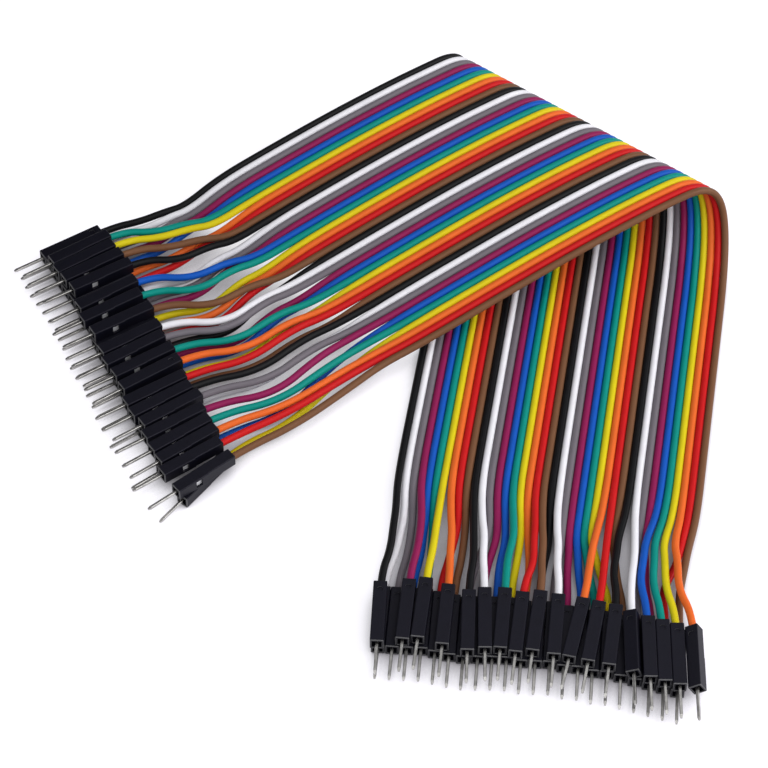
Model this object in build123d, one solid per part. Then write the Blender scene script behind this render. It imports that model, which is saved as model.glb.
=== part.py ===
from build123d import *
from math import cos, hypot, radians, sin, tan
import os

# Folded jumper wire ribbon: forty insulated wires bonded side by side, folded once on the skew.
# Both ends split into single wires, each crimped to a pin terminal in its own black housing.
# Frame: millimetres, +Z up off the table. The lower half of the ribbon runs along Y.

# Ribbon: four banks of ten colours
bank_colours = (
    "black", "white", "grey", "purple", "blue", "green", "yellow", "orange", "red", "brown",
)
bank_count = 4
wire_pitch = 1.45
bond_gap = 0.05
wire_diameter = wire_pitch - bond_gap

# Fold: the fold line is turned from square by the skew, and stands at this place on the table
fold_skew = 25.9
fold_x = 39.35
fold_y = 52.62

# Fan: the first wire runs this much further into the fold than the last one
fold_fan = 3.0

# Housing: a moulded one-way shell with a square cavity right through
housing_width = 2.54
housing_length = 13.3
housing_wall = 0.38
housing_edge = 0.16
mouth_bevel = 0.14
latch_length = 1.5
latch_width = 1.1
latch_slit = 0.3
latch_opening = 1.4
latch_setback = 6.4
relief_depth = 0.14
dimple_diameter = 0.8
dimple_depth = 0.2
dimple_setback = 1.9

# Terminal: folded plated strip with a square pin, a box, a conductor crimp and two grips
pin_side = 0.64
pin_reach = 6.4
pin_taper = 0.9
pin_tip = 0.3
box_length = 4.6
box_front = 1.0
terminal_gap = 0.06
crimp_width = 1.0
crimp_length = 2.0
grip_length = 1.6
grip_sheet = 0.15
jacket_gap = 0.02

# Tails: the single wires between the ribbon and the housings
front_split = 80.0
back_split = 82.0
back_split_lead = 14.0
front_reach = 103.5
back_reach = 107.0
wire_seat = 5.0
straight_lead = 5.0
corner_margin = 7.0
parting_run = 8.0
parting_share = 0.6
arc_share = 0.45

overrun = 1.0

# Route across the fold line: distance past it and height, one corner of the route each
fold_corners = [
    (-88.0, 2.9), (-66.0, 1.9), (-46.0, 1.25), (-29.0, 0.9), (-17.5, 0.76), (-9.5, 0.75),
    (-2.6, 3.6), (1.8, 8.0), (3.2, 12.0), (2.2, 15.2), (-0.7, 17.1), (-5.4, 17.0),
    (-14.0, 16.0), (-26.0, 13.8), (-39.0, 10.6), (-52.0, 7.0), (-65.0, 3.7), (-78.0, 1.9),
]

# Share of the fan that each corner takes along the fold line, from the lower leg to the upper
slide_shares = [-1, -1, -1, -1, -1, -1, -0.8, -0.4, 0, 0.4, 0.8, 1, 1, 1, 1, 1, 1, 1]

# Seats of the housings. Each row gives the wire, the place across in housing widths, the reach
# past the shortest tail in housing lengths, the yaw of the pin in degrees and the roll.
front_lower_shares = [
    (1, -10.60, 0.13, 4, 0), (2, -9.58, 0.12, 4, 0), (4, -8.56, 0.10, 4, 0), (5, -7.54, 0.08, 4, 0),
    (8, -6.52, 0.10, 4, 0), (9, -5.50, 0.12, 4, 0), (12, -4.48, 0.13, 4, 0), (13, -3.46, 0.10, 4, 0),
    (14, -2.44, 0.07, 4, 0), (16, -1.42, 0.05, 4, 0), (17, -0.40, 0.07, 4, 0), (20, 0.62, 0.05, 4, 0),
    (22, 1.64, 0.03, 4, 0), (23, 2.66, 0.06, 4, 0), (24, 3.68, 0.05, 4, 0), (25, 4.70, 0.08, 4, 0),
    (26, 5.72, 0.07, 4, 0), (29, 6.74, 0.10, 4, 0), (32, 7.76, 0.13, 4, 0), (33, 8.78, 0.16, 4, 0),
    (38, 9.80, 0.19, 4, 0), (39, 10.82, 0.22, 4, 0),
]
front_upper_shares = [
    (0, -10.80, 0.19, 6, 0), (3, -8.78, 0.09, 3, 0), (6, -7.60, 0.03, 1.5, 0), (7, -5.94, 0.09, 3, 0),
    (10, -4.42, 0.14, 6.5, 0), (11, -3.34, 0.07, 8, 0), (15, -1.88, 0.03, 3.5, 0),
    (18, -0.59, 0.06, 1.5, 0), (19, 0.67, 0.00, 0.5, 0), (21, 1.97, 0.02, 3, 0),
    (27, 3.78, 0.03, -5, 0), (28, 4.92, 0.05, -2.5, 0), (30, 6.14, 0.07, 0.5, 0),
    (31, 7.28, 0.15, 8, 20), (34, 8.47, 0.19, 8, 0), (35, 9.52, 0.22, 8, 0), (36, 10.57, 0.25, 8, 0),
    (37, 11.80, 0.27, 8, 32),
]
back_lower_shares = [
    (0, -12.62, 0.05, 3, 0), (1, -11.60, 0.03, 3, 0), (2, -10.58, 0.05, 3, 0), (3, -9.56, 0.06, 3, 0),
    (4, -8.54, 0.05, 3, 0), (7, -7.52, 0.04, 3, 0), (8, -6.50, 0.04, 3, 0), (11, -5.48, 0.02, 3, 0),
    (12, -4.46, 0.06, 3, 0), (13, -3.44, 0.08, 3, 0), (16, -2.42, 0.12, 3, 0), (17, -1.40, 0.14, 3, 0),
    (18, -0.38, 0.13, 3, 0), (20, 0.64, 0.12, 3, 0), (23, 1.66, 0.16, 3, 0), (24, 2.72, 0.18, 4, 0),
    (26, 3.78, 0.20, 4, 0), (29, 4.88, 0.24, 5, 0), (31, 6.60, 0.28, 6, 0), (34, 10.60, 0.34, 8, 0),
    (36, 12.45, 0.36, 23, 0),
]
back_upper_shares = [
    (5, -11.05, 0.04, 4, 90), (6, -10.00, 0.06, 4, 90), (9, -8.85, 0.03, 3, 90), (10, -7.55, 0.00, 2, 90),
    (14, -5.75, 0.08, 4, 90), (15, -4.35, 0.14, 3, 90), (19, -2.70, 0.11, 2, 90), (21, -0.75, 0.16, 3, 90),
    (22, 0.35, 0.21, 4, 90), (25, 1.80, 0.19, 3, 90), (27, 3.05, 0.20, 5, 0), (28, 4.75, 0.28, 3, 90),
    (30, 5.85, 0.29, 4, 90), (32, 6.95, 0.24, 5, 90), (33, 8.25, 0.31, 4, 90), (35, 9.40, 0.33, 6, 90),
    (37, 10.50, 0.33, 7, 90), (38, 11.80, 0.39, 6, 90), (39, 13.35, 0.36, 10, 90),
]

skew = radians(fold_skew)
bank_size = len(bank_colours)
wire_count = bank_count * bank_size


def developed_lengths():
    """Distance of each fold corner along the unfolded ribbon, square to the fold line."""
    lengths = [fold_corners[0][0]]
    for (past, height), (next_past, next_height) in zip(fold_corners, fold_corners[1:]):
        lengths.append(lengths[-1] + hypot(next_past - past, next_height - height))
    return lengths


corner_lengths = developed_lengths()
fold_take_up = fold_corners[-1][0] + corner_lengths[-1]


def fold_place(along, past, height):
    """Point given along the fold line, past it and above the table."""
    return Vector(
        fold_x + along * cos(skew) + past * sin(skew),
        fold_y - along * sin(skew) + past * cos(skew),
        height,
    )


def across_ribbon(wire):
    """Place of a wire across the ribbon, from its centre line."""
    return wire_pitch * (wire - (wire_count - 1) / 2)


def fan_lead(wire):
    """How much further into the fold a wire runs than the last one does."""
    return fold_fan * (1 - wire / (wire_count - 1))


def ribbon_point(wire, length):
    """Point of a bonded wire at a developed length, on the fold's polygon."""
    span = 1
    while corner_lengths[span] < length:
        span += 1
    start, end = corner_lengths[span - 1], corner_lengths[span]
    share = (length - start) / (end - start)
    (past, height), (next_past, next_height) = fold_corners[span - 1], fold_corners[span]
    slide, next_slide = slide_shares[span - 1], slide_shares[span]
    lead = fan_lead(wire)
    along = across_ribbon(wire) / cos(skew) - length * tan(skew)
    along += lead * sin(skew) * (slide + share * (next_slide - slide))
    return fold_place(
        along,
        past + share * (next_past - past) + lead * cos(skew),
        height + share * (next_height - height),
    )


def wire_length_at(wire, length):
    """Distance along the wire of the point at a developed length."""
    return (length - across_ribbon(wire) * sin(skew)) / cos(skew)


def developed_at(wire, distance):
    """Developed length of the point at a distance along the wire."""
    return distance * cos(skew) + across_ribbon(wire) * sin(skew)


def end_planes():
    """Table planes of the two ends: x across the wires, y back along them from the pins."""
    twice = 2 * skew
    back_across = Vector(cos(twice), -sin(twice))
    back_along = Vector(sin(twice), cos(twice))
    fold_foot = Vector(fold_x, fold_y)
    back_foot = fold_foot - back_across * (fold_take_up * sin(skew))
    back_foot += back_along * (fold_take_up * cos(skew))
    front = Plane(origin=fold_foot, x_dir=(1, 0, 0), z_dir=(0, 0, 1))
    back = Plane(origin=back_foot, x_dir=back_across, z_dir=(0, 0, 1))
    return front, back


def seat_location(plane, reach, row, place_share, reach_share, yaw, roll):
    """Location of a housing: its mouth's centre, with the pin towards local -Y."""
    turn = radians(abs(roll))
    half_height = housing_width / 2 * (cos(turn) + sin(turn))
    position = Pos(
        place_share * housing_width,
        -reach - reach_share * housing_length,
        row * housing_width + half_height,
    )
    return plane.location * position * Rot(0, 0, yaw) * Rot(0, -roll, 0)


def end_seats(plane, reach, lower, upper):
    """Seat of every wire's housing at one end, in the order of the wires."""
    seats = {}
    for row, table in enumerate((lower, upper)):
        for wire, place_share, reach_share, yaw, roll in table:
            seats[wire] = seat_location(plane, reach, row, place_share, reach_share, yaw, roll)
    return [seats[wire] for wire in range(wire_count)]


def make_housing():
    """One-way housing with its mouth at the origin and its length along -Y."""
    cavity = housing_width - 2 * housing_wall
    lengthwise = (Align.CENTER, Align.MAX, Align.CENTER)
    block = Box(housing_width, housing_length, housing_width, align=lengthwise)
    shell = chamfer(block.edges().filter_by(Axis.Y), housing_edge)
    shell -= Pos(0, overrun, 0) * Box(cavity, housing_length + 2 * overrun, cavity, align=lengthwise)
    mouth = shell.faces().sort_by(Axis.Y)[-1]
    shell = chamfer(mouth.inner_wires().edges(), mouth_bevel)
    floor = -housing_width / 2
    relief = Pos(0, -latch_setback, floor + relief_depth) * Box(
        housing_width + 2 * overrun,
        latch_setback + overrun,
        relief_depth + overrun,
        align=(Align.CENTER, Align.MIN, Align.MAX),
    )
    window = Pos(0, -latch_setback, floor - overrun) * Box(
        latch_width + 2 * latch_slit,
        latch_length + latch_opening,
        housing_wall + overrun,
        align=(Align.CENTER, Align.MAX, Align.MIN),
    )
    tongue = Pos(0, -latch_setback, floor) * Box(
        latch_width, latch_length, housing_wall, align=(Align.CENTER, Align.MAX, Align.MIN)
    )
    shell -= relief
    shell -= window
    shell += tongue
    dimple = Pos(0, -dimple_setback, housing_width / 2 - dimple_depth) * Cylinder(
        dimple_diameter / 2, dimple_depth + overrun, align=(Align.CENTER, Align.CENTER, Align.MIN)
    )
    return shell - dimple


def make_terminal():
    """Pin terminal in the housing's frame: pin, box, conductor crimp and jacket grips."""
    body_side = housing_width - 2 * housing_wall - 2 * terminal_gap
    crimp_start = -wire_seat
    box_start = -housing_length + box_front + box_length
    pin_end = -housing_length - pin_reach
    forward = Plane.XZ
    pin_base = forward.offset(housing_length - box_front)
    pin_shoulder = forward.offset(-pin_end - pin_taper)
    pin = extrude(pin_base * Rectangle(pin_side, pin_side), pin_reach + box_front - pin_taper)
    tip = loft([
        pin_shoulder * Rectangle(pin_side, pin_side),
        forward.offset(-pin_end) * Rectangle(pin_tip, pin_tip),
    ])
    box = extrude(forward.offset(-box_start) * Rectangle(body_side, body_side), box_length)
    crimp = extrude(forward.offset(-crimp_start) * Rectangle(crimp_width, crimp_width), crimp_length)
    neck_length = crimp_start - crimp_length - box_start
    neck = extrude(forward.offset(-box_start - neck_length) * Rectangle(crimp_width, pin_side), neck_length)
    slot = wire_diameter + 2 * jacket_gap
    grip_side = slot + 2 * grip_sheet
    grip_plane = forward.offset(-crimp_start - grip_length)
    grip_block = extrude(grip_plane * Rectangle(grip_side, grip_side), grip_length)
    grip_slot = Pos(0, crimp_start - overrun, grip_sheet) * Box(
        slot, grip_length + 2 * overrun, grip_side, align=(Align.CENTER, Align.MIN, Align.CENTER)
    )
    web_section = Pos(0, -(slot + grip_sheet) / 2) * Rectangle(crimp_width, grip_sheet)
    web = extrude(forward.offset(-crimp_start) * web_section, crimp_length)
    riser = Pos(0, crimp_start, -grip_side / 2) * Box(
        crimp_width, grip_sheet, grip_side / 2, align=(Align.CENTER, Align.MAX, Align.MIN)
    )
    return pin + tip + box + neck + crimp + (grip_block - grip_slot) + web + riser


def tail_points(plane, seat, split):
    """Route of one tail: seated in the crimp, straight out of the mouth, then to the ribbon.

    Next to the ribbon a tail first rises or drops towards its row, and only then moves sideways."""
    seated = (seat * Pos(0, -wire_seat, 0)).position
    lead = (seat * Pos(0, straight_lead, 0)).position
    parting = split - plane.y_dir * parting_run
    parting.Z += (lead.Z - split.Z) * parting_share
    return [seated, lead, parting, split]


def wire_route(wire, planes, seats):
    """Route of a wire from its front terminal to its back one."""
    lead = fan_lead(wire)
    first_split = -front_split - lead
    last_split = back_split - back_split_lead * wire / (wire_count - 1) + lead
    first = ribbon_point(wire, developed_at(wire, first_split))
    last = ribbon_point(wire, developed_at(wire, last_split))
    bonded = []
    for length in corner_lengths:
        distance = wire_length_at(wire, length)
        if first_split + corner_margin < distance < last_split - corner_margin:
            bonded.append(ribbon_point(wire, length))
    front_tail = tail_points(planes[0], seats[0][wire], first)
    back_tail = tail_points(planes[1], seats[1][wire], last)
    return front_tail + bonded + back_tail[::-1]


def bend_radii(route):
    """Radius of each corner's arc, as large as the two runs beside it allow."""
    radii = []
    for before, corner, after in zip(route, route[1:], route[2:]):
        arriving, leaving = corner - before, after - corner
        turn = radians(arriving.get_angle(leaving))
        radii.append(arc_share * min(arriving.length, leaving.length) / tan(turn / 2))
    return radii


def make_wire(route, radii):
    """Round wire along its route."""
    path = FilletPolyline(*route, radius=radii)
    section = Plane(origin=path @ 0, z_dir=path % 0) * Circle(wire_diameter / 2)
    return sweep(section, path=path), path.length


def main():
    os.makedirs("parts", exist_ok=True)
    planes = end_planes()
    front_seats = end_seats(planes[0], front_reach, front_lower_shares, front_upper_shares)
    back_seats = end_seats(planes[1], back_reach, back_lower_shares, back_upper_shares)
    seats = (front_seats, back_seats)

    section_area = Circle(wire_diameter / 2).area
    tightest = []
    fullness = []
    for wire in range(wire_count):
        route = wire_route(wire, planes, seats)
        radii = bend_radii(route)
        solid, length = make_wire(route, radii)
        colour = bank_colours[wire % bank_size]
        export_step(solid, f"parts/wire_{wire + 1:02d}_{colour}.step")
        tightest.append(min(radii))
        fullness.append(solid.volume / (section_area * length))
        print(f"wire {wire + 1:02d} {colour}: length {length:.1f}, points {len(route)},"
              f" tightest radius {min(radii):.2f}")
    print(f"tightest radius of all {min(tightest):.2f}, volume over section times length"
          f" {min(fullness):.4f} to {max(fullness):.4f}")

    housing = make_housing()
    terminal = make_terminal()
    for end, end_row in zip(("front", "back"), seats):
        for bank in range(bank_count):
            members = end_row[bank * bank_size:(bank + 1) * bank_size]
            housings = Compound([seat * housing for seat in members])
            terminals = Compound([seat * terminal for seat in members])
            export_step(housings, f"parts/{end}_housings_bank_{bank + 1}.step")
            export_step(terminals, f"parts/{end}_terminals_bank_{bank + 1}.step")


if __name__ == "__main__":
    main()
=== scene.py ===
import math

import bmesh
import bpy
from bpy.props import FloatProperty, FloatVectorProperty, IntProperty, PointerProperty
from mathutils import Matrix, Vector


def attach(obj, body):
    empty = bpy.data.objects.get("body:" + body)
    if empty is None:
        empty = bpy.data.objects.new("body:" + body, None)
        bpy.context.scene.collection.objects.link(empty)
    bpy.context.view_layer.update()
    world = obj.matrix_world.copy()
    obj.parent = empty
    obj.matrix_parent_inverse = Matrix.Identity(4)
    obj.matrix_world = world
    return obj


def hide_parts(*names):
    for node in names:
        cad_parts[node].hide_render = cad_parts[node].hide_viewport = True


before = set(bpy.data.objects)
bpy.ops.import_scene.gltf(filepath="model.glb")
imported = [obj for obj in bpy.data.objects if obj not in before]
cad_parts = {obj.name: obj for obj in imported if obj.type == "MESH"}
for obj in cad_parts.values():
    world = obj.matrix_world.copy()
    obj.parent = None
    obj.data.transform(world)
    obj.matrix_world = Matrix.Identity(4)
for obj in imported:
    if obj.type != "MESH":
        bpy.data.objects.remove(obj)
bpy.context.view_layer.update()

bl_info = {
    "name": "Folded Jumper Wire Ribbon",
    "version": (1, 0, 0),
    "blender": (4, 2, 0),
    "location": "View3D > Sidebar > Ribbon",
    "description": "Builds a folded ribbon of rainbow jumper wires with pin housings at both ends",
    "category": "Object",
}

MM = 0.001
COLOURS = ("black", "white", "grey", "purple", "blue", "green", "yellow", "orange", "red", "brown")
BANKS = 4
WIRES = BANKS * len(COLOURS)
ENDS = ("front", "back")

# Route across the fold line: distance past it and height of each corner, in millimetres
FOLD_CORNERS = [
    (-88.0, 2.9), (-66.0, 1.9), (-46.0, 1.25), (-29.0, 0.9), (-17.5, 0.76), (-9.5, 0.75),
    (-2.6, 3.6), (1.8, 8.0), (3.2, 12.0), (2.2, 15.2), (-0.7, 17.1), (-5.4, 17.0),
    (-14.0, 16.0), (-26.0, 13.8), (-39.0, 10.6), (-52.0, 7.0), (-65.0, 3.7), (-78.0, 1.9),
]

# Share of the fan that each corner takes along the fold line
SLIDES = (-1, -1, -1, -1, -1, -1, -0.8, -0.4, 0, 0.4, 0.8, 1, 1, 1, 1, 1, 1, 1)

# Seats of the housings: wire, place in housing widths, reach in housing lengths, yaw, roll
FRONT_LOWER = [
    (1, -10.60, 0.13, 4, 0), (2, -9.58, 0.12, 4, 0), (4, -8.56, 0.10, 4, 0), (5, -7.54, 0.08, 4, 0),
    (8, -6.52, 0.10, 4, 0), (9, -5.50, 0.12, 4, 0), (12, -4.48, 0.13, 4, 0), (13, -3.46, 0.10, 4, 0),
    (14, -2.44, 0.07, 4, 0), (16, -1.42, 0.05, 4, 0), (17, -0.40, 0.07, 4, 0), (20, 0.62, 0.05, 4, 0),
    (22, 1.64, 0.03, 4, 0), (23, 2.66, 0.06, 4, 0), (24, 3.68, 0.05, 4, 0), (25, 4.70, 0.08, 4, 0),
    (26, 5.72, 0.07, 4, 0), (29, 6.74, 0.10, 4, 0), (32, 7.76, 0.13, 4, 0), (33, 8.78, 0.16, 4, 0),
    (38, 9.80, 0.19, 4, 0), (39, 10.82, 0.22, 4, 0),
]
FRONT_UPPER = [
    (0, -10.80, 0.19, 6, 0), (3, -8.78, 0.09, 3, 0), (6, -7.60, 0.03, 1.5, 0), (7, -5.94, 0.09, 3, 0),
    (10, -4.42, 0.14, 6.5, 0), (11, -3.34, 0.07, 8, 0), (15, -1.88, 0.03, 3.5, 0),
    (18, -0.59, 0.06, 1.5, 0), (19, 0.67, 0.00, 0.5, 0), (21, 1.97, 0.02, 3, 0),
    (27, 3.78, 0.03, -5, 0), (28, 4.92, 0.05, -2.5, 0), (30, 6.14, 0.07, 0.5, 0),
    (31, 7.28, 0.15, 8, 20), (34, 8.47, 0.19, 8, 0), (35, 9.52, 0.22, 8, 0), (36, 10.57, 0.25, 8, 0),
    (37, 11.80, 0.27, 8, 32),
]
BACK_LOWER = [
    (0, -12.62, 0.05, 3, 0), (1, -11.60, 0.03, 3, 0), (2, -10.58, 0.05, 3, 0), (3, -9.56, 0.06, 3, 0),
    (4, -8.54, 0.05, 3, 0), (7, -7.52, 0.04, 3, 0), (8, -6.50, 0.04, 3, 0), (11, -5.48, 0.02, 3, 0),
    (12, -4.46, 0.06, 3, 0), (13, -3.44, 0.08, 3, 0), (16, -2.42, 0.12, 3, 0), (17, -1.40, 0.14, 3, 0),
    (18, -0.38, 0.13, 3, 0), (20, 0.64, 0.12, 3, 0), (23, 1.66, 0.16, 3, 0), (24, 2.72, 0.18, 4, 0),
    (26, 3.78, 0.20, 4, 0), (29, 4.88, 0.24, 5, 0), (31, 6.60, 0.28, 6, 0), (34, 10.60, 0.34, 8, 0),
    (36, 12.45, 0.36, 23, 0),
]
BACK_UPPER = [
    (5, -11.05, 0.04, 4, 90), (6, -10.00, 0.06, 4, 90), (9, -8.85, 0.03, 3, 90), (10, -7.55, 0.00, 2, 90),
    (14, -5.75, 0.08, 4, 90), (15, -4.35, 0.14, 3, 90), (19, -2.70, 0.11, 2, 90), (21, -0.75, 0.16, 3, 90),
    (22, 0.35, 0.21, 4, 90), (25, 1.80, 0.19, 3, 90), (27, 3.05, 0.20, 5, 0), (28, 4.75, 0.28, 3, 90),
    (30, 5.85, 0.29, 4, 90), (32, 6.95, 0.24, 5, 90), (33, 8.25, 0.31, 4, 90), (35, 9.40, 0.33, 6, 90),
    (37, 10.50, 0.33, 7, 90), (38, 11.80, 0.39, 6, 90), (39, 13.35, 0.36, 10, 90),
]

# Slack of the tails: wire, and how far a tail hangs aside near its mouth and near the ribbon
FRONT_SLACK = [
    (0, 1.0, 0.9), (3, 1.0, 1.4), (4, 0.8, 0.75), (5, 0.5, 0.65), (6, 0.3, 0.2), (7, 0.4, 1.1),
    (10, 0.9, 1.0), (11, 0.3, 1.2), (15, 0.2, 1.3), (18, 1.4, 1.0), (19, 0.2, 0.85), (21, 0.0, 0.7),
    (22, -0.1, 0.25), (26, -0.3, -0.25), (27, -0.4, -0.7), (28, 0.0, 0.0), (30, -1.2, -0.9),
    (31, 0.1, 0.7), (32, -0.4, -0.1), (33, -0.8, -0.35), (34, -1.8, -1.6), (36, -1.5, -1.2),
    (37, -1.7, -0.7), (38, -2.0, -0.85), (39, -1.0, -0.95),
]
BACK_SLACK = [
    (0, 0.6, 0.0), (5, 1.5, 0.0), (6, 1.0, -0.2), (9, 0.8, -0.6), (10, 2.2, 0.0), (14, 2.8, 0.0),
    (15, 3.5, 0.2), (19, 3.7, 0.3), (21, 4.5, 0.9), (22, 4.2, 0.3), (25, 3.5, 0.0), (27, 3.2, 0.0),
    (28, 2.5, -0.2), (30, 3.1, 0.2), (32, 3.2, 0.2), (33, 4.2, 0.7), (35, 3.3, 0.8), (37, 2.2, 0.6),
    (38, 1.2, 0.3), (39, 1.5, 0.7),
]

# Slack of each end, and the share of it that the parting run takes
SLACK = ((FRONT_SLACK, 1.0), (BACK_SLACK, 0.0))

# Hung points of a tail, as shares of the way from its mouth to its parting run
HUNG_SHARES = (0.36, 0.75)

# Moulding: the run of the step on the latch side, and how far the latch window is cut past the wall
STEP_RUN = 0.04 * MM
WINDOW_OVERCUT = 0.08 * MM

# Rim of an open end: the share of it that stays flat before it slopes into the cavity
FLAT_RIM_SHARE = 0.6

# Dimple: rounding of its corners and reach of its wall that takes the painted highlight, as shares of its
# width
DIMPLE_ROUND_SHARE = 0.3
DIMPLE_WALL_SHARE = 0.7

# Faces: how squarely one has to look along a direction, how near it lies to a level, the slope of the
# nose's rounded band along Y, and the upright part below which a wall is steep
FACING = 0.99
LEVEL_TOLERANCE = 0.02 * MM
CUT_TOLERANCE = 1e-7
ROUNDED_BAND = (-0.95, -0.2)
STEEP = 0.5

# Softboxes: place, and side of the square, in metres. All of them look at the middle of the table
TOP_SOFTBOX = ((0.45, -0.20, 0.90), 0.9)
RIGHT_SOFTBOX = ((0.85, 0.10, 0.35), 0.6)
FRONT_SOFTBOX = ((0.10, -0.85, 0.42), 0.5)

# Dark cards: left edge, right edge, height and distance, in metres. They lean towards the ribbon
LEFT_FLAG = (-1.3, -0.10, 1.2, 1.0)
RIGHT_FLAG = (0.22, 1.2, 1.2, 1.0)
NEAR_FLAG = (-0.22, -0.035, 0.22, 0.16)
FLAG_LEAN = math.radians(135.0)
FLAG_BACK = 0.70
FLAG_UP = 0.74
FLAG_TINT = (0.8, 0.85, 1.0)

# Table: half its side and its drop below the ribbon in metres, and the tint of its white
TABLE_HALF = 3.0
TABLE_DROP = 0.0002
TABLE_TINT = (0.97, 0.97, 1.0)

# Painted shade under the ribbon, from ambient occlusion that dims the table's glow: how far away a piece
# still shades the table in metres, and what is let through
SHADE_REACH = 0.006
SHADE_GAIN = 1.45

SENSOR_WIDTH = 36.0


def length_property(label, words, size):
    """A length of the object, given in millimetres."""
    return FloatProperty(name=label, description=words, default=size * MM, unit="LENGTH", precision=5)


def colour_property(label, words, colour):
    """A linear colour."""
    return FloatVectorProperty(
        name=label, description=words, default=colour, subtype="COLOR", size=3, min=0.0, max=1.0
    )


class RibbonWires(bpy.types.PropertyGroup):
    """The forty bonded wires and the fold."""

    pitch: length_property("Pitch", "Distance between neighbouring wires", 1.45)
    diameter: length_property("Diameter", "Outside diameter of the insulation", 1.44)
    fold_x: length_property("Fold X", "Place of the fold line's middle along X", 39.35)
    fold_y: length_property("Fold Y", "Place of the fold line's middle along Y", 52.62)
    skew: FloatProperty(
        name="Skew", description="Turn of the fold line", default=math.radians(25.9), subtype="ANGLE"
    )
    fan: length_property("Fan", "How much further into the fold the first wire runs", 3.0)
    front_split: length_property("Front split", "Where the near tails leave the ribbon", 80.0)
    back_split: length_property("Back split", "Where the left tails leave the ribbon", 82.0)
    split_lead: length_property("Split lead", "How much sooner the last left tail leaves", 14.0)
    front_reach: length_property("Front reach", "Shortest near tail, from the fold to the mouth", 103.5)
    back_reach: length_property("Back reach", "Shortest left tail, from the fold to the mouth", 107.0)
    seat: length_property("Seat", "Depth of a wire's end in its housing", 5.0)
    lead: length_property("Lead", "Straight run out of a housing's mouth", 2.5)
    parting: length_property("Parting run", "Run on which a tail rises or drops to its row", 8.0)
    margin: length_property("Corner margin", "Shortest run between a fold corner and a split", 7.0)
    parting_share: FloatProperty(
        name="Parting share", description="Share of the way to its row on the parting run", default=0.6
    )
    roundness: IntProperty(name="Roundness", description="Bevel resolution of a wire", default=5)
    black: colour_property("Black", "Insulation of the black wires", (0.004, 0.004, 0.005))
    white: colour_property("White", "Insulation of the white wires", (0.800, 0.790, 0.840))
    grey: colour_property("Grey", "Insulation of the grey wires", (0.160, 0.143, 0.165))
    purple: colour_property("Purple", "Insulation of the purple wires", (0.250, 0.011, 0.081))
    blue: colour_property("Blue", "Insulation of the blue wires", (0.006, 0.086, 0.446))
    green: colour_property("Green", "Insulation of the green wires", (0.001, 0.243, 0.204))
    yellow: colour_property("Yellow", "Insulation of the yellow wires", (0.650, 0.545, 0.009))
    orange: colour_property("Orange", "Insulation of the orange wires", (0.750, 0.136, 0.023))
    red: colour_property("Red", "Insulation of the red wires", (0.545, 0.009, 0.011))
    brown: colour_property("Brown", "Insulation of the brown wires", (0.166, 0.074, 0.036))


class RibbonHousings(bpy.types.PropertyGroup):
    """The moulded one-way housings."""

    width: length_property("Width", "Side of a housing's square section", 2.54)
    length: length_property("Length", "Length of a housing", 13.3)
    wall: length_property("Wall", "Wall round the cavity", 0.38)
    edge: length_property("Edge", "Rounding of the outer edges", 0.17)
    mouth_depth: length_property("Mouth depth", "Depth of the open mouth round the wire", 4.4)
    nose_depth: length_property("Nose depth", "Depth of the open nose round the pin", 0.9)
    dimple: length_property("Dimple", "Width of the round dimple by the mouth", 1.05)
    dimple_depth: length_property("Dimple depth", "Depth of the dimple", 0.2)
    dimple_setback: length_property("Dimple setback", "Middle of the dimple from the mouth", 1.9)
    latch_length: length_property("Latch length", "Length of the latch window", 1.4)
    latch_width: length_property("Latch width", "Width of the latch window", 1.7)
    latch_setback: length_property("Latch setback", "Near edge of the latch window from the mouth", 7.9)
    relief_depth: length_property("Relief depth", "Step down to the mouth's half of the latch side", 0.14)
    relief_length: length_property("Relief length", "Length of the stepped half", 6.4)
    colour: colour_property("Colour", "Moulded black", (0.0018, 0.0018, 0.0046))
    # The rim colour is a painted highlight: paler black on the nose's rounded band and the dimple's walls.
    rim: colour_property("Rim", "Rubbed rim of the nose", (0.060, 0.060, 0.064))


class RibbonPins(bpy.types.PropertyGroup):
    """The plated pin terminals."""

    side: length_property("Side", "Side of the square pin", 0.60)
    reach: length_property("Reach", "Length of the pin out of the nose", 6.4)
    rounding: length_property("Rounding", "Rounding of the pin's long edges", 0.13)
    taper: length_property("Taper", "Length of the tapered tip", 0.7)
    tip: FloatProperty(name="Tip", description="Share of the side left at the tip", default=0.55)
    box: length_property("Box", "Side of the spring box inside the housing", 1.64)
    box_front: length_property("Box front", "Front of the box from the nose", 1.0)
    box_length: length_property("Box length", "Length of the box", 4.6)
    crimp: length_property("Crimp", "Width of the crimp", 1.0)
    crimp_length: length_property("Crimp length", "Length of the crimp behind the box", 3.6)
    colour: colour_property("Colour", "Tin plating", (0.48, 0.47, 0.455))
    # The sheet colour is a painted glint: paler and less metallic than the pin, so the spring box shows
    # bright in the latch windows.
    sheet: colour_property("Sheet", "Stamped sheet of the spring box", (0.75, 0.75, 0.78))


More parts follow.
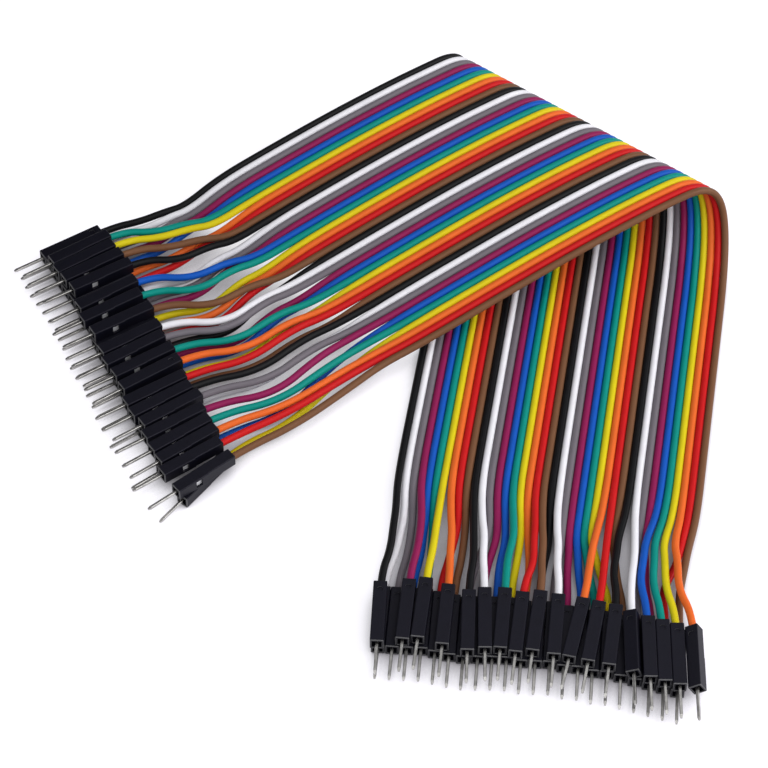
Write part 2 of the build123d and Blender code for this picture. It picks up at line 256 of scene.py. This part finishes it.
class RibbonStage(bpy.types.PropertyGroup):
    """Camera, floor and lamps."""

    azimuth: FloatProperty(
        name="Azimuth", description="Turn of the camera", default=math.radians(8.9865), subtype="ANGLE"
    )
    elevation: FloatProperty(
        name="Elevation", description="Height of the camera", default=math.radians(50.54), subtype="ANGLE"
    )
    distance: length_property("Distance", "Camera to the point it looks at", 578.7)
    look_x: length_property("Look X", "Point that the camera looks at, along X", 4.65)
    look_y: length_property("Look Y", "Point that the camera looks at, along Y", -3.39)
    lens: FloatProperty(name="Lens", description="Focal length on a 36 mm sensor", default=139.52)
    floor: colour_property("Floor", "Pale table", (0.370, 0.350, 0.395))
    fill: FloatProperty(name="Fill", description="Strength of the even light", default=0.41)
    flag: FloatProperty(name="Flag", description="Brightness of the dark cards", default=0.10)
    near_flag: FloatProperty(name="Near flag", description="Brightness of the near dark card", default=0.02)
    glow: FloatProperty(name="Glow", description="Strength of the white that the table shows", default=0.80)
    key: FloatProperty(name="Key", description="Power of the top softbox", default=5.2, unit="POWER")
    front: FloatProperty(name="Front", description="Power of the front softbox", default=1.5, unit="POWER")
    side: FloatProperty(name="Side", description="Power of the right softbox", default=4.3, unit="POWER")


class RibbonSettings(bpy.types.PropertyGroup):
    """All sizes and colours of the ribbon."""

    wires: PointerProperty(type=RibbonWires)
    housings: PointerProperty(type=RibbonHousings)
    pins: PointerProperty(type=RibbonPins)
    stage: PointerProperty(type=RibbonStage)


class Signal:
    """A shader value that takes part in Python arithmetic."""

    def __init__(self, graph, socket):
        self.graph = graph
        self.socket = socket

    def math(self, operation, a, b):
        return self.graph.node("ShaderNodeMath", {"operation": operation}, {0: a, 1: b})

    def __add__(self, other):
        return self.math("ADD", self, other)

    def __radd__(self, other):
        return self.math("ADD", other, self)

    def __mul__(self, other):
        return self.math("MULTIPLY", self, other)

    def __rmul__(self, other):
        return self.math("MULTIPLY", other, self)

    def at_most(self, limit):
        return self.math("MINIMUM", self, limit)


class Graph:
    """A material's or world's node tree, cleared and ready for new nodes."""

    def __init__(self, tree):
        self.tree = tree
        tree.nodes.clear()

    def node(self, kind, settings=None, inputs=None, output=0):
        made = self.tree.nodes.new(kind)
        for name, value in (settings or {}).items():
            setattr(made, name, value)
        for name, value in (inputs or {}).items():
            socket = made.inputs[name]
            if isinstance(value, Signal):
                self.tree.links.new(value.socket, socket)
            elif isinstance(value, tuple) and socket.type == "RGBA":
                socket.default_value = (*value, 1.0)
            else:
                socket.default_value = value
        return Signal(self, made.outputs[output]) if made.outputs else None

    def noise(self, scale, detail):
        """Noise on object coordinates."""
        spot = self.node("ShaderNodeTexCoord", output="Object")
        return self.node("ShaderNodeTexNoise", inputs={"Vector": spot, "Scale": scale, "Detail": detail})

    def tint(self, factor, dark, light):
        colours = {"Factor": factor, "A": dark, "B": light}
        return self.node("ShaderNodeMix", {"data_type": "RGBA"}, colours, output="Result")

    def bump(self, height, strength, distance):
        return self.node(
            "ShaderNodeBump", inputs={"Height": height, "Strength": strength, "Distance": distance}
        )

    def surface(self, inputs):
        self.finish(self.node("ShaderNodeBsdfPrincipled", inputs=inputs))

    def finish(self, shader):
        self.node("ShaderNodeOutputMaterial", inputs={"Surface": shader})


def new_graph(name):
    """A new material and its graph."""
    material = bpy.data.materials.new(name)
    material.use_nodes = True
    return material, Graph(material.node_tree)


def shade(colour, amount):
    """A colour made darker or lighter."""
    return tuple(min(1.0, part * amount) for part in colour)


def insulation(name, colour):
    """Soft extruded insulation: a satin skin with faint streaks of tone."""
    material, graph = new_graph("insulation_" + name)
    tone = graph.noise(240.0, 3.0)
    skin = graph.noise(4200.0, 2.0)
    material.diffuse_color = (*colour, 1.0)
    graph.surface({
        "Base Color": graph.tint(tone, shade(colour, 0.90), shade(colour, 1.08)),
        "Roughness": 0.38 + 0.16 * skin,
        "Normal": graph.bump(skin, 0.12, 0.00003),
        "Specular IOR Level": 0.14,
    })
    return material


def moulded_black(colour):
    """Black moulded nylon with a fine spark-eroded skin."""
    material, graph = new_graph("moulded_black")
    grain = graph.noise(6500.0, 3.0)
    cloud = graph.noise(420.0, 2.0)
    graph.surface({
        "Base Color": graph.tint(cloud, shade(colour, 0.75), shade(colour, 1.5)),
        "Roughness": 0.36 + 0.22 * grain,
        "Normal": graph.bump(grain, 0.25, 0.00004),
        "Specular IOR Level": 0.24,
        "Specular Tint": (0.86, 0.84, 1.0),
    })
    return material


def rubbed_rim(colour):
    """Black nylon painted pale on the nose's rim and the dimple's walls: a painted highlight."""
    material, graph = new_graph("rubbed_rim")
    highlight_mottle = graph.noise(1500.0, 3.0)
    graph.surface({
        "Base Color": graph.tint(highlight_mottle, shade(colour, 0.2), shade(colour, 1.6)),
        "Roughness": 0.35,
        "Specular IOR Level": 0.5,
    })
    return material


def tin_plate(colour):
    """Bright tin plating, a little clouded and drawn along the pin."""
    material, graph = new_graph("tin_plate")
    cloud = graph.noise(700.0, 3.0)
    scratch = graph.noise(5200.0, 2.0)
    graph.surface({
        "Base Color": graph.tint(cloud, shade(colour, 0.45), shade(colour, 1.45)),
        "Metallic": 1.0,
        "Roughness": 0.26 + 0.20 * scratch,
        "Normal": graph.bump(scratch, 0.10, 0.00003),
    })
    return material


def dull_tin(colour):
    """Stamped tin sheet without the polish of the pin, paler and less metallic: a painted glint where it
    shows through the latch windows.
    """
    material, graph = new_graph("dull_tin")
    cloud = graph.noise(900.0, 3.0)
    graph.surface({
        "Base Color": graph.tint(cloud, shade(colour, 0.8), shade(colour, 1.1)),
        "Metallic": 0.3,
        "Roughness": 0.45,
    })
    return material


class Layout:
    """Places of the fold, the ribbon's wires and the housings' seats, in metres."""

    def __init__(self, settings):
        self.wires = settings.wires
        self.housings = settings.housings
        self.skew = self.wires.skew
        self.corners = [(past * MM, height * MM) for past, height in FOLD_CORNERS]
        self.lengths = [self.corners[0][0]]
        for (past, height), (next_past, next_height) in zip(self.corners, self.corners[1:]):
            self.lengths.append(self.lengths[-1] + math.hypot(next_past - past, next_height - height))
        self.planes = self.end_planes()
        reaches = (self.wires.front_reach, self.wires.back_reach)
        tables = ((FRONT_LOWER, FRONT_UPPER), (BACK_LOWER, BACK_UPPER))
        self.seats = [self.end_seats(*end) for end in zip(self.planes, reaches, tables)]

    def end_planes(self):
        """Table frames of the two ends: x across the wires, y back along them from the pins."""
        twice = 2 * self.skew
        take_up = self.corners[-1][0] + self.lengths[-1]
        foot = Vector((self.wires.fold_x, self.wires.fold_y, 0.0))
        across = Vector((math.cos(twice), -math.sin(twice), 0.0))
        along = Vector((math.sin(twice), math.cos(twice), 0.0))
        back_foot = foot - across * (take_up * math.sin(self.skew))
        back_foot += along * (take_up * math.cos(self.skew))
        return Matrix.Translation(foot), Matrix.Translation(back_foot) @ Matrix.Rotation(-twice, 4, "Z")

    def end_seats(self, plane, reach, tables):
        """Seat of each wire's housing at one end: its mouth's centre, the pin towards local -Y."""
        width, length = self.housings.width, self.housings.length
        seats = {}
        for row, table in enumerate(tables):
            for wire, place, past, yaw, roll in table:
                turn = math.radians(roll)
                half = width / 2 * (math.cos(turn) + abs(math.sin(turn)))
                spot = Vector((place * width, -reach - past * length, row * width + half))
                yawed = Matrix.Rotation(math.radians(yaw), 4, "Z")
                rolled = Matrix.Rotation(-turn, 4, "Y")
                seats[wire] = plane @ Matrix.Translation(spot) @ yawed @ rolled
        return [seats[wire] for wire in range(WIRES)]

    def across(self, wire):
        """Place of a wire across the ribbon, from its centre line."""
        return self.wires.pitch * (wire - (WIRES - 1) / 2)

    def fan_lead(self, wire):
        """How much further into the fold a wire runs than the last one."""
        return self.wires.fan * (1 - wire / (WIRES - 1))

    def ribbon_point(self, wire, length):
        """Point of a bonded wire at a developed length, on the fold's polygon."""
        span = 1
        while self.lengths[span] < length:
            span += 1
        start, end = self.lengths[span - 1], self.lengths[span]
        share = (length - start) / (end - start)
        (past, height), (next_past, next_height) = self.corners[span - 1], self.corners[span]
        slide = SLIDES[span - 1] + share * (SLIDES[span] - SLIDES[span - 1])
        lead = self.fan_lead(wire)
        past += share * (next_past - past) + lead * math.cos(self.skew)
        along = self.across(wire) / math.cos(self.skew) - length * math.tan(self.skew)
        along += slide * lead * math.sin(self.skew)
        return Vector((
            self.wires.fold_x + along * math.cos(self.skew) + past * math.sin(self.skew),
            self.wires.fold_y - along * math.sin(self.skew) + past * math.cos(self.skew),
            height + share * (next_height - height),
        ))

    def developed_at(self, wire, distance):
        """Developed length of the point at a distance along the wire."""
        return distance * math.cos(self.skew) + self.across(wire) * math.sin(self.skew)

    def slack(self, end, wire):
        """How far a tail hangs aside near its mouth, near the ribbon and on its parting run."""
        table, parting_share = SLACK[end]
        spot = 1
        while table[spot][0] < wire:
            spot += 1
        (first, *start), (last, *stop) = table[spot - 1:spot + 1]
        share = (wire - first) / (last - first)
        near, far = ((a + share * (b - a)) * MM for a, b in zip(start, stop))
        return near, far, far * parting_share

    def tail(self, end, wire, split):
        """One tail: seated in the housing, out of the mouth, hanging aside, then to the ribbon."""
        seat, plane = self.seats[end][wire], self.planes[end]
        seated = seat @ Vector((0.0, -self.wires.seat, 0.0))
        lead = seat @ Vector((0.0, self.wires.lead, 0.0))
        parting = split - plane.to_3x3() @ Vector((0.0, self.wires.parting, 0.0))
        parting.z += (lead.z - split.z) * self.wires.parting_share
        aside = plane.to_3x3() @ Vector((1.0, 0.0, 0.0))
        near, far, early = self.slack(end, wire)
        hung = [
            lead.lerp(parting, share) + aside * slack for share, slack in zip(HUNG_SHARES, (near, far))
        ]
        return [seated, lead, *hung, parting + aside * early, split]

    def route(self, wire):
        """A wire's control points, from its front terminal to its back one."""
        lead = self.fan_lead(wire)
        sooner = self.wires.split_lead * wire / (WIRES - 1)
        first = self.developed_at(wire, -self.wires.front_split - lead)
        last = self.developed_at(wire, self.wires.back_split - sooner + lead)
        gap = self.wires.margin * math.cos(self.skew)
        inner = [length for length in self.lengths if first + gap < length < last - gap]
        bonded = [self.ribbon_point(wire, length) for length in inner]
        front = self.tail(0, wire, self.ribbon_point(wire, first))
        back = self.tail(1, wire, self.ribbon_point(wire, last))
        return front + bonded + back[::-1]


def show(mesh_or_curve, name):
    """A new object at the origin, riding with the part."""
    made = bpy.data.objects.new(name, mesh_or_curve)
    bpy.context.scene.collection.objects.link(made)
    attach(made, "root")
    return made


def wire_name(wire):
    """Name of a wire's solid."""
    return f"wire_{wire + 1:02d}_{COLOURS[wire % len(COLOURS)]}"


class RIBBON_OT_wires(bpy.types.Operator):
    """Lay the forty wires along the fold and out to their housings"""

    bl_idname = "ribbon.wires"
    bl_label = "Wires"

    def execute(self, context):
        settings = context.scene.ribbon
        layout = Layout(settings)
        finishes = {name: insulation(name, tuple(getattr(settings.wires, name))) for name in COLOURS}
        for wire in range(WIRES):
            colour = COLOURS[wire % len(COLOURS)]
            points = layout.route(wire)
            curve = bpy.data.curves.new(f"insulated_{wire_name(wire)}", "CURVE")
            curve.dimensions = "3D"
            spline = curve.splines.new("NURBS")
            spline.points.add(len(points) - 1)
            for point, place in zip(spline.points, points):
                point.co = (*place, 1.0)
            spline.order_u = 3
            spline.use_endpoint_u = True
            spline.resolution_u = 8
            curve.bevel_depth = settings.wires.diameter / 2
            curve.bevel_resolution = settings.wires.roundness
            curve.use_fill_caps = True
            curve.materials.append(finishes[colour])
            cord = show(curve, f"insulated_{wire_name(wire)}")
            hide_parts(wire_name(wire))
            runs = sum((b - a).length for a, b in zip(points, points[1:]))
        return {"FINISHED"}


def round_edges(shape, edges, radius, segments):
    """Round some edges of a bmesh."""
    bmesh.ops.bevel(
        shape, geom=edges, offset=radius, offset_type="OFFSET", affect="EDGES", segments=segments,
        profile=0.5, material=-1,
    )


def push_face(shape, face, offset):
    """Draw a face of a bmesh out or in by an offset, and return the corners that moved."""
    made = bmesh.ops.extrude_face_region(shape, geom=[face])
    moved = [part for part in made["geom"] if isinstance(part, bmesh.types.BMVert)]
    bmesh.ops.translate(shape, vec=offset, verts=moved)
    bmesh.ops.delete(shape, geom=[face], context="FACES_ONLY")
    return moved


def housing_shape(sizes):
    """One housing with its mouth at the origin and its length along -Y, as a bmesh."""
    shape = bmesh.new()
    half = sizes.width / 2
    bmesh.ops.create_cube(shape, size=1.0)
    bmesh.ops.scale(shape, vec=(sizes.width, sizes.length, sizes.width), verts=shape.verts)
    bmesh.ops.translate(shape, vec=(0.0, -sizes.length / 2, 0.0), verts=shape.verts)
    round_edges(shape, list(shape.edges), sizes.edge, 2)
    step_down(shape, sizes)
    for end, depth in ((0.0, sizes.mouth_depth), (-sizes.length, sizes.nose_depth)):
        inward = -1.0 if end == 0.0 else 1.0
        open_end(shape, end, inward, depth, sizes.wall - sizes.edge)
    shape.normal_update()
    # Faces of the nose's rounded band take the rim colour, a painted highlight.
    for face in shape.faces:
        rounded = ROUNDED_BAND[0] < face.normal.y < ROUNDED_BAND[1]
        face.material_index = int(rounded and face.calc_center_median().y < -sizes.length + sizes.edge)
    window = cut_patch(
        shape, -half, (sizes.latch_width, sizes.latch_length), -sizes.latch_setback - sizes.latch_length / 2
    )
    push_face(shape, window, (0.0, 0.0, sizes.wall + WINDOW_OVERCUT))
    dimple = cut_patch(shape, half, (sizes.dimple, sizes.dimple), -sizes.dimple_setback)
    sink(shape, dimple, sizes.dimple_depth, sizes.dimple * DIMPLE_ROUND_SHARE)
    shape.normal_update()
    # The dimple's steep walls take the rim's painted highlight too.
    spot = Vector((0.0, -sizes.dimple_setback, half))
    wall_reach = sizes.dimple * DIMPLE_WALL_SHARE
    for face in shape.faces:
        steep = abs(face.normal.z) < STEEP
        face.material_index |= int(steep and (face.calc_center_median() - spot).length < wall_reach)
    return shape


def step_down(shape, sizes):
    """Step the mouth's half of the latch side in from the rest."""
    for spot in (-sizes.relief_length, -sizes.relief_length + STEP_RUN):
        geometry = [*shape.verts, *shape.edges, *shape.faces]
        bmesh.ops.bisect_plane(
            shape, geom=geometry, plane_co=(0.0, spot, 0.0), plane_no=(0.0, 1.0, 0.0), dist=CUT_TOLERANCE
        )
    low = [
        vert for vert in shape.verts
        if vert.co.y > -sizes.relief_length + STEP_RUN / 2 and vert.co.z < 0.0
    ]
    bmesh.ops.translate(shape, vec=(0.0, 0.0, sizes.relief_depth), verts=low)


def face_at(shape, normal, level):
    """The largest flat face that looks along a direction at a level."""
    axis = Vector(normal)
    found = [
        face for face in shape.faces
        if face.normal.dot(axis) > FACING
        and abs(face.calc_center_median().dot(axis) - level) < LEVEL_TOLERANCE
    ]
    return max(found, key=lambda face: face.calc_area())


def open_end(shape, end, inward, depth, wall):
    """Open the square cavity in one end of a housing."""
    shape.normal_update()
    cap = face_at(shape, (0.0, -inward, 0.0), -inward * end)
    flat = wall * FLAT_RIM_SHARE
    slope = wall - flat
    bmesh.ops.inset_region(shape, faces=[cap], thickness=flat, depth=0.0, use_even_offset=True)
    bmesh.ops.inset_region(shape, faces=[cap], thickness=slope, depth=-slope, use_even_offset=True)
    push_face(shape, cap, (0.0, inward * depth, 0.0))


def cut_patch(shape, level, size, middle):
    """Score a rectangle into the top or bottom of a housing, and return its face."""
    shape.normal_update()
    side = math.copysign(1.0, level)
    wide, long = size
    cuts = (
        ((wide / 2, 0.0, 0.0), (1.0, 0.0, 0.0)), ((-wide / 2, 0.0, 0.0), (1.0, 0.0, 0.0)),
        ((0.0, middle + long / 2, 0.0), (0.0, 1.0, 0.0)), ((0.0, middle - long / 2, 0.0), (0.0, 1.0, 0.0)),
    )
    for spot, across in cuts:
        top = [
            face for face in shape.faces
            if face.normal.z * side > FACING and abs(face.calc_center_median().z - level) < LEVEL_TOLERANCE
        ]
        geometry = list({part for face in top for part in (face, *face.edges, *face.verts)})
        bmesh.ops.bisect_plane(shape, geom=geometry, plane_co=spot, plane_no=across, dist=CUT_TOLERANCE)
        shape.normal_update()
    return min(
        (face for face in shape.faces if face.normal.z * side > FACING),
        key=lambda face: (face.calc_center_median() - Vector((0.0, middle, level))).length,
    )


def sink(shape, face, depth, corner):
    """Press a face of the top in, with its upright corners rounded."""
    floor = set(push_face(shape, face, (0.0, 0.0, -depth)))
    upright = [edge for edge in shape.edges if (edge.verts[0] in floor) != (edge.verts[1] in floor)]
    round_edges(shape, upright, corner, 3)


def add_block(shape, width, start, end):
    """Add a square block along Y to a bmesh, and return its corners."""
    corners = bmesh.ops.create_cube(shape, size=1.0)["verts"]
    bmesh.ops.scale(shape, vec=(width, end - start, width), verts=corners)
    bmesh.ops.translate(shape, vec=(0.0, (start + end) / 2, 0.0), verts=corners)
    return corners


def pin_shape(sizes, housing_length):
    """One terminal seated in a housing whose mouth is at the origin, as a bmesh."""
    shape = bmesh.new()
    box_start = -housing_length + sizes.box_front
    box_end = box_start + sizes.box_length
    nose = -housing_length - sizes.reach
    corners = add_block(shape, sizes.side, nose + sizes.taper, box_start)
    shape.normal_update()
    front = face_at(shape, (0.0, -1.0, 0.0), -nose - sizes.taper)
    tip = push_face(shape, front, (0.0, -sizes.taper, 0.0))
    bmesh.ops.scale(shape, vec=(sizes.tip, 1.0, sizes.tip), verts=tip)
    long_edges = [
        edge for edge in shape.edges
        if edge.verts[0] in corners and edge.verts[1] in corners and edge.calc_length() > sizes.side * 2
    ]
    round_edges(shape, long_edges, sizes.rounding, 2)
    bright = set(shape.faces)
    add_block(shape, sizes.box, box_start, box_end)
    add_block(shape, sizes.crimp, box_end, box_end + sizes.crimp_length)
    # The spring box and crimp take the sheet colour, a painted glint.
    for face in shape.faces:
        face.material_index = int(face not in bright)
    return shape


def plant(shape, layout, label, node, finishes):
    """Set copies of one shape on all seats, a bank at a time."""
    bmesh.ops.recalc_face_normals(shape, faces=shape.faces)
    pattern = bpy.data.meshes.new(label + "_pattern")
    shape.to_mesh(pattern)
    shape.free()
    size = len(COLOURS)
    for end, name in enumerate(ENDS):
        for bank in range(BANKS):
            group = bmesh.new()
            for seat in layout.seats[end][bank * size:(bank + 1) * size]:
                first = len(group.verts)
                group.from_mesh(pattern)
                group.verts.ensure_lookup_table()
                bmesh.ops.transform(group, matrix=seat, verts=group.verts[first:])
            mesh = bpy.data.meshes.new(f"{name}_{label}_{bank + 1}")
            group.to_mesh(mesh)
            group.free()
            for finish in finishes:
                mesh.materials.append(finish)
            made = show(mesh, f"{name}_{label}_{bank + 1}")
            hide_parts(f"{name}_{node}_bank_{bank + 1}")


class RIBBON_OT_housings(bpy.types.Operator):
    """Mould the housings of both ends and seat each on its wire"""

    bl_idname = "ribbon.housings"
    bl_label = "Housings"

    def execute(self, context):
        settings = context.scene.ribbon
        sizes = settings.housings
        finishes = (moulded_black(tuple(sizes.colour)), rubbed_rim(tuple(sizes.rim)))
        shape = housing_shape(sizes)
        plant(shape, Layout(settings), "moulded_housings", "housings", finishes)
        return {"FINISHED"}


class RIBBON_OT_pins(bpy.types.Operator):
    """Set the plated pin terminals in the housings of both ends"""

    bl_idname = "ribbon.pins"
    bl_label = "Pins"

    def execute(self, context):
        settings = context.scene.ribbon
        sizes = settings.pins
        finishes = (tin_plate(tuple(sizes.colour)), dull_tin(tuple(sizes.sheet)))
        shape = pin_shape(sizes, settings.housings.length)
        plant(shape, Layout(settings), "plated_pins", "terminals", finishes)
        return {"FINISHED"}


def softbox(name, place, side, power):
    """A soft square lamp that looks at the middle of the table."""
    lamp = bpy.data.lights.new(name, "AREA")
    lamp.shape = "RECTANGLE"
    lamp.size = side
    lamp.size_y = side
    lamp.energy = power
    made = bpy.data.objects.new(name, lamp)
    made.location = place
    made.rotation_mode = "QUATERNION"
    made.rotation_quaternion = (-Vector(place)).to_track_quat("-Z", "Y")
    bpy.context.scene.collection.objects.link(made)
    return made


def set_on_stage(shape, name, material):
    """Turn a bmesh into a piece of the stage."""
    mesh = bpy.data.meshes.new(name)
    shape.to_mesh(mesh)
    shape.free()
    mesh.materials.append(material)
    made = bpy.data.objects.new(name, mesh)
    bpy.context.scene.collection.objects.link(made)
    return made


def seen(graph):
    """One for what the camera, a reflection or a clear piece sees, and nought for light on the object."""
    rays = [
        graph.node("ShaderNodeLightPath", output=name)
        for name in ("Is Camera Ray", "Is Glossy Ray", "Is Transmission Ray")
    ]
    return (rays[0] + rays[1] + rays[2]).at_most(1.0)


class RIBBON_OT_stage(bpy.types.Operator):
    """Set up the camera, the pale table and the soft lamps"""

    bl_idname = "ribbon.stage"
    bl_label = "Stage"

    def execute(self, context):
        scene = context.scene
        stage = scene.ribbon.stage
        scene.view_settings.view_transform = "Standard"
        look = Vector((stage.look_x, stage.look_y, 0.0))
        flat = math.cos(stage.elevation)
        back = Vector((
            math.sin(stage.azimuth) * flat, -math.cos(stage.azimuth) * flat, math.sin(stage.elevation),
        ))
        lens = bpy.data.cameras.new("camera")
        lens.lens = stage.lens
        lens.sensor_width = SENSOR_WIDTH
        camera = bpy.data.objects.new("camera", lens)
        camera.location = look + back * stage.distance
        camera.rotation_mode = "QUATERNION"
        camera.rotation_quaternion = (-back).to_track_quat("-Z", "Y")
        scene.collection.objects.link(camera)
        scene.camera = camera
        self.lay_table(stage)
        self.light_world(scene, stage)
        softbox("top_softbox", *TOP_SOFTBOX, stage.key)
        softbox("right_softbox", *RIGHT_SOFTBOX, stage.side)
        front = softbox("front_softbox", *FRONT_SOFTBOX, stage.front)
        front.visible_glossy = False
        self.hang_flag("left_flag", *LEFT_FLAG, stage.flag)
        self.hang_flag("right_flag", *RIGHT_FLAG, stage.flag)
        self.hang_flag("near_flag", *NEAR_FLAG, stage.near_flag)
        return {"FINISHED"}

    def lay_table(self, stage):
        """A wide pale table that shows white and keeps the ribbon's real shadow, with painted shade under
        and between the wires where ambient occlusion dims its glow.
        """
        flat = bmesh.new()
        bmesh.ops.create_grid(flat, x_segments=1, y_segments=1, size=TABLE_HALF)
        bmesh.ops.translate(flat, vec=(0.0, 0.0, -TABLE_DROP), verts=flat.verts)
        material, graph = new_graph("pale_table")
        paper = graph.node("ShaderNodeBsdfDiffuse", inputs={"Color": tuple(stage.floor)})
        glow = graph.node("ShaderNodeEmission", inputs={"Color": TABLE_TINT, "Strength": stage.glow})
        lit = graph.node("ShaderNodeAddShader", inputs={0: paper, 1: glow})
        # Painted shade: ambient occlusion cuts the table's glow under and between the wires, so the
        # lilac-grey paper shows there.
        clear = graph.node("ShaderNodeAmbientOcclusion", inputs={"Distance": SHADE_REACH}, output="AO")
        open_sky = (clear * SHADE_GAIN).at_most(1.0)
        white = seen(graph) * open_sky * open_sky
        graph.finish(graph.node("ShaderNodeMixShader", inputs={"Fac": white, 1: paper, 2: lit}))
        set_on_stage(flat, "table", material)

    def hang_flag(self, name, left, right, height, away, brightness):
        """A dark card behind and above the ribbon, seen in its reflections alone."""
        card = bmesh.new()
        middle = ((left + right) / 2, FLAG_BACK * away, FLAG_UP * away)
        bmesh.ops.create_grid(card, x_segments=1, y_segments=1, size=0.5)
        bmesh.ops.scale(card, vec=(right - left, height, 1.0), verts=card.verts)
        bmesh.ops.rotate(card, matrix=Matrix.Rotation(FLAG_LEAN, 3, "X"), verts=card.verts)
        bmesh.ops.translate(card, vec=middle, verts=card.verts)
        material, graph = new_graph("dark_card_" + name)
        graph.finish(
            graph.node("ShaderNodeEmission", inputs={"Color": FLAG_TINT, "Strength": brightness})
        )
        flag = set_on_stage(card, name, material)
        flag.visible_camera = False
        flag.visible_diffuse = False
        flag.visible_transmission = False
        flag.visible_shadow = False

    def light_world(self, scene, stage):
        """Even light on the object, and white where the world is seen."""
        world = bpy.data.worlds.new("studio")
        world.use_nodes = True
        graph = Graph(world.node_tree)
        white = graph.node("ShaderNodeBackground", inputs={"Color": (1.0, 1.0, 1.0), "Strength": 1.0})
        fill = graph.node("ShaderNodeBackground", inputs={"Color": (1.0, 1.0, 1.0), "Strength": stage.fill})
        both = graph.node("ShaderNodeMixShader", inputs={"Fac": seen(graph), 1: fill, 2: white})
        graph.node("ShaderNodeOutputWorld", inputs={"Surface": both})
        scene.world = world


class RIBBON_PT_panel(bpy.types.Panel):
    """The ribbon's pieces in the sidebar"""

    bl_idname = "RIBBON_PT_panel"
    bl_label = "Jumper Wire Ribbon"
    bl_space_type = "VIEW_3D"
    bl_region_type = "UI"
    bl_category = "Ribbon"

    def draw(self, context):
        for operator in OPERATORS:
            self.layout.operator(operator.bl_idname)


OPERATORS = (RIBBON_OT_stage, RIBBON_OT_wires, RIBBON_OT_housings, RIBBON_OT_pins)
CLASSES = (
    RibbonWires, RibbonHousings, RibbonPins, RibbonStage, RibbonSettings, *OPERATORS, RIBBON_PT_panel,
)


def register():
    for piece in CLASSES:
        bpy.utils.register_class(piece)
    bpy.types.Scene.ribbon = PointerProperty(type=RibbonSettings)


def unregister():
    del bpy.types.Scene.ribbon
    for piece in reversed(CLASSES):
        bpy.utils.unregister_class(piece)


def main():
    register()
    bpy.ops.ribbon.stage()
    bpy.ops.ribbon.wires()
    bpy.ops.ribbon.housings()
    bpy.ops.ribbon.pins()


if __name__ == "__main__":
    main()
